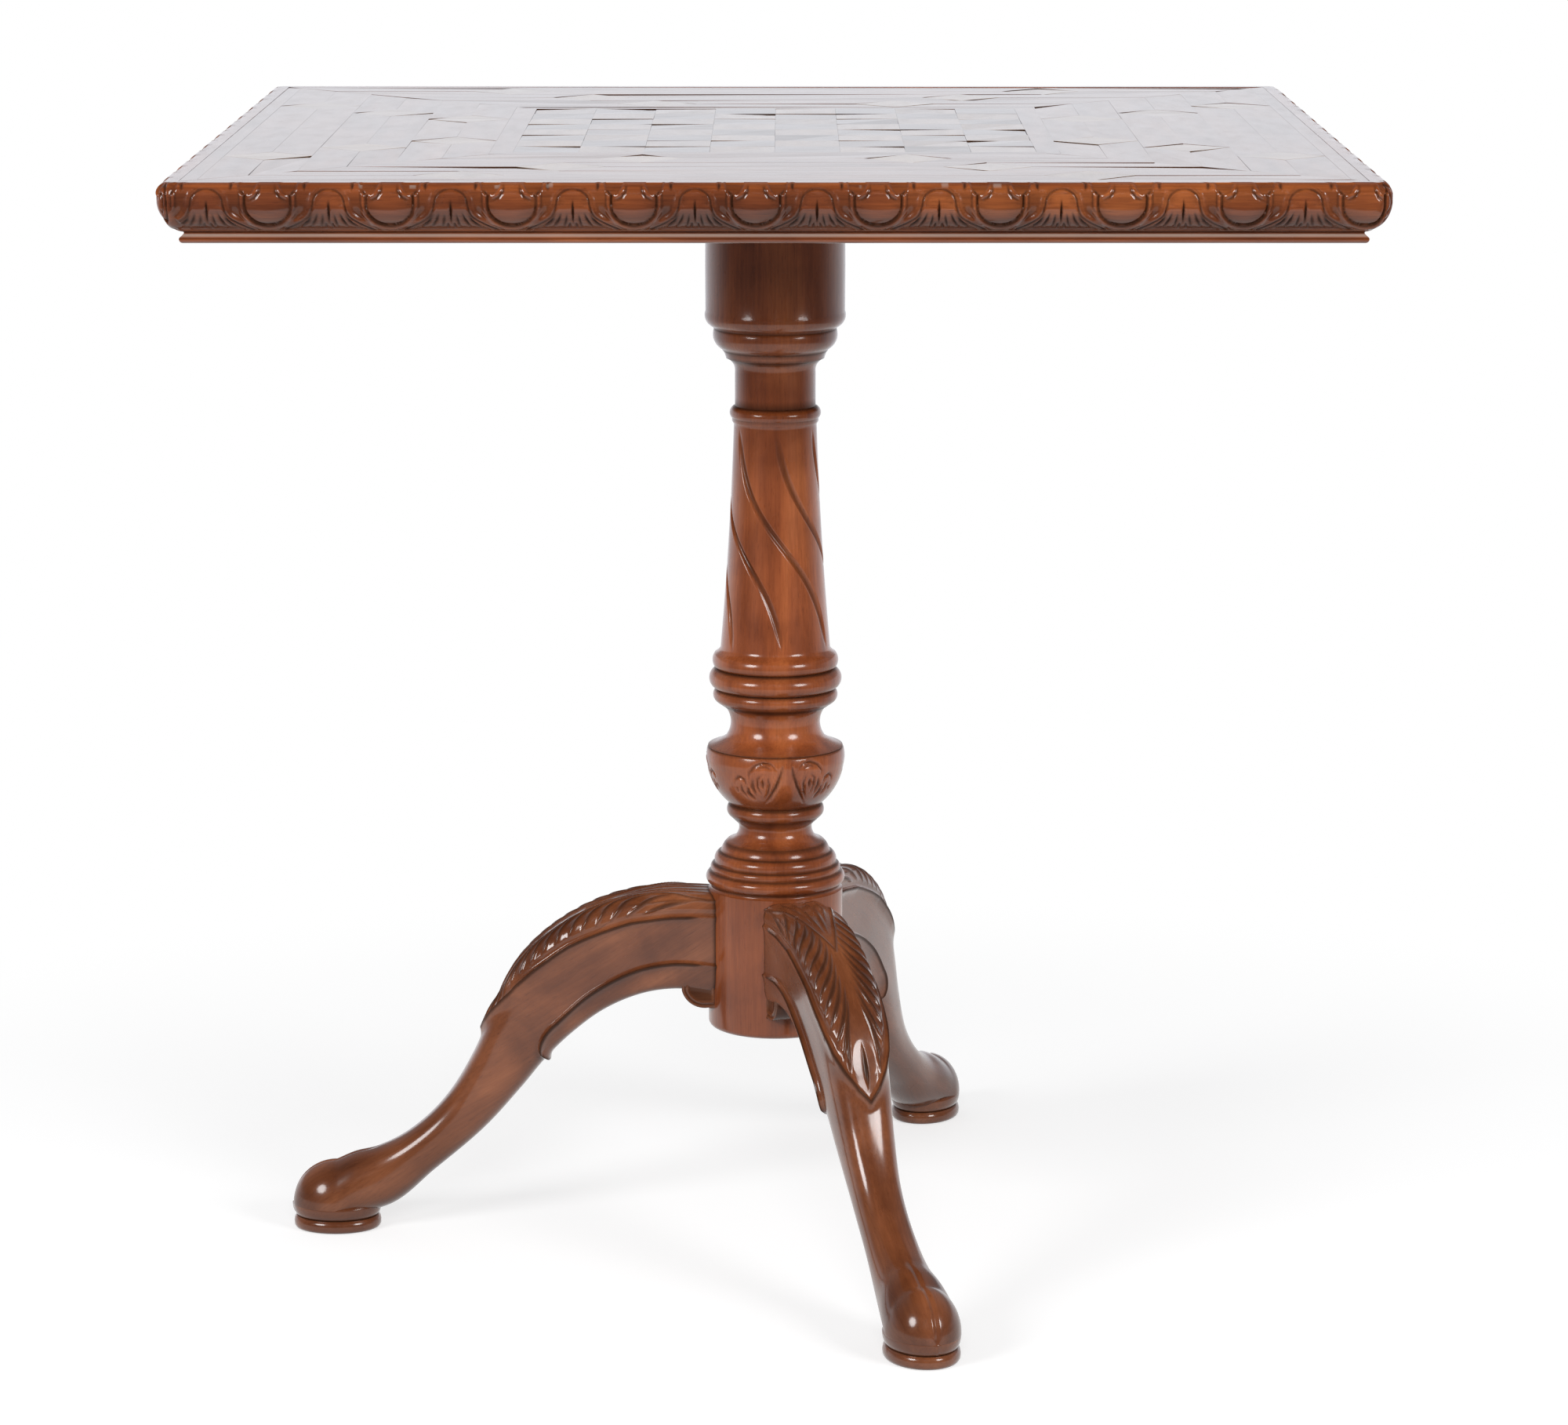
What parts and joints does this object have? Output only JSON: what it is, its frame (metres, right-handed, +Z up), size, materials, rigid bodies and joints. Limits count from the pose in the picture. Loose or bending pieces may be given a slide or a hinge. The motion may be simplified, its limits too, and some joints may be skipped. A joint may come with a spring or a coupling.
{
  "type": "tripod games table",
  "caption": "Square parquetry games table with a chessboard and carved edge, tilting on a turned pillar with carved cabriole tripod legs.",
  "frame": {"origin": "on the floor under the pillar's axis, which is also the middle of the square top", "axes": "+Z up the pillar, +X to the right and -Y towards the viewer, square to the top's edges; the top tilts down on its +X side"},
  "size_m": [0.731, 0.731, 0.748],
  "materials": {
    "mahogany": "french polished red-brown mahogany, dark in the carving",
    "ground_wood": "plain unpolished boards, stained",
    "veneer_dark": "polished dark veneer",
    "veneer_light": "polished light veneer",
    "veneer_band": "polished mahogany banding",
    "veneer_lath": "polished mahogany laths",
    "veneer_diamond": "polished pale diamonds",
    "iron": "dark forged iron",
    "brass": "old lacquered brass"
  },
  "bodies": {
    "base": {"pillar": "mahogany", "tenon_wedge": "mahogany", "leg_left": "mahogany", "leg_front": "mahogany", "leg_back": "mahogany", "tilt_block": "mahogany", "pintle_front": "iron", "pintle_back": "iron", "keeper_plate": "brass", "keeper_screws": "brass"},
    "top": {"edge_moulding_front": "mahogany", "edge_moulding_back": "mahogany", "edge_moulding_left": "mahogany", "edge_moulding_right": "mahogany", "bearer_front": "mahogany", "bearer_back": "mahogany", "ground_boards": "ground_wood", "chess_dark_squares": "veneer_dark", "chess_light_squares": "veneer_light", "board_border": "veneer_band", "outer_band": "veneer_band", "parquetry_inner": "veneer_lath", "parquetry_middle": "veneer_lath", "parquetry_outer": "veneer_lath", "parquetry_diamonds": "veneer_diamond", "bearer_screws": "iron", "bolt_plate": "brass", "bolt_screws": "brass"},
    "lock": {"lock_bolt": "brass"}
  },
  "joints": [
    {"name": "top_tilt", "type": "hinge", "parent": "base", "child": "top", "pos_m": [0.0373, 0, 0.696], "axis": [0, 1, 0], "range_deg": [0, 90]},
    {"name": "bolt_slide", "type": "slide", "parent": "top", "child": "lock", "axis": [1, 0, 0], "range_m": [0, 0.016]}
  ]
}
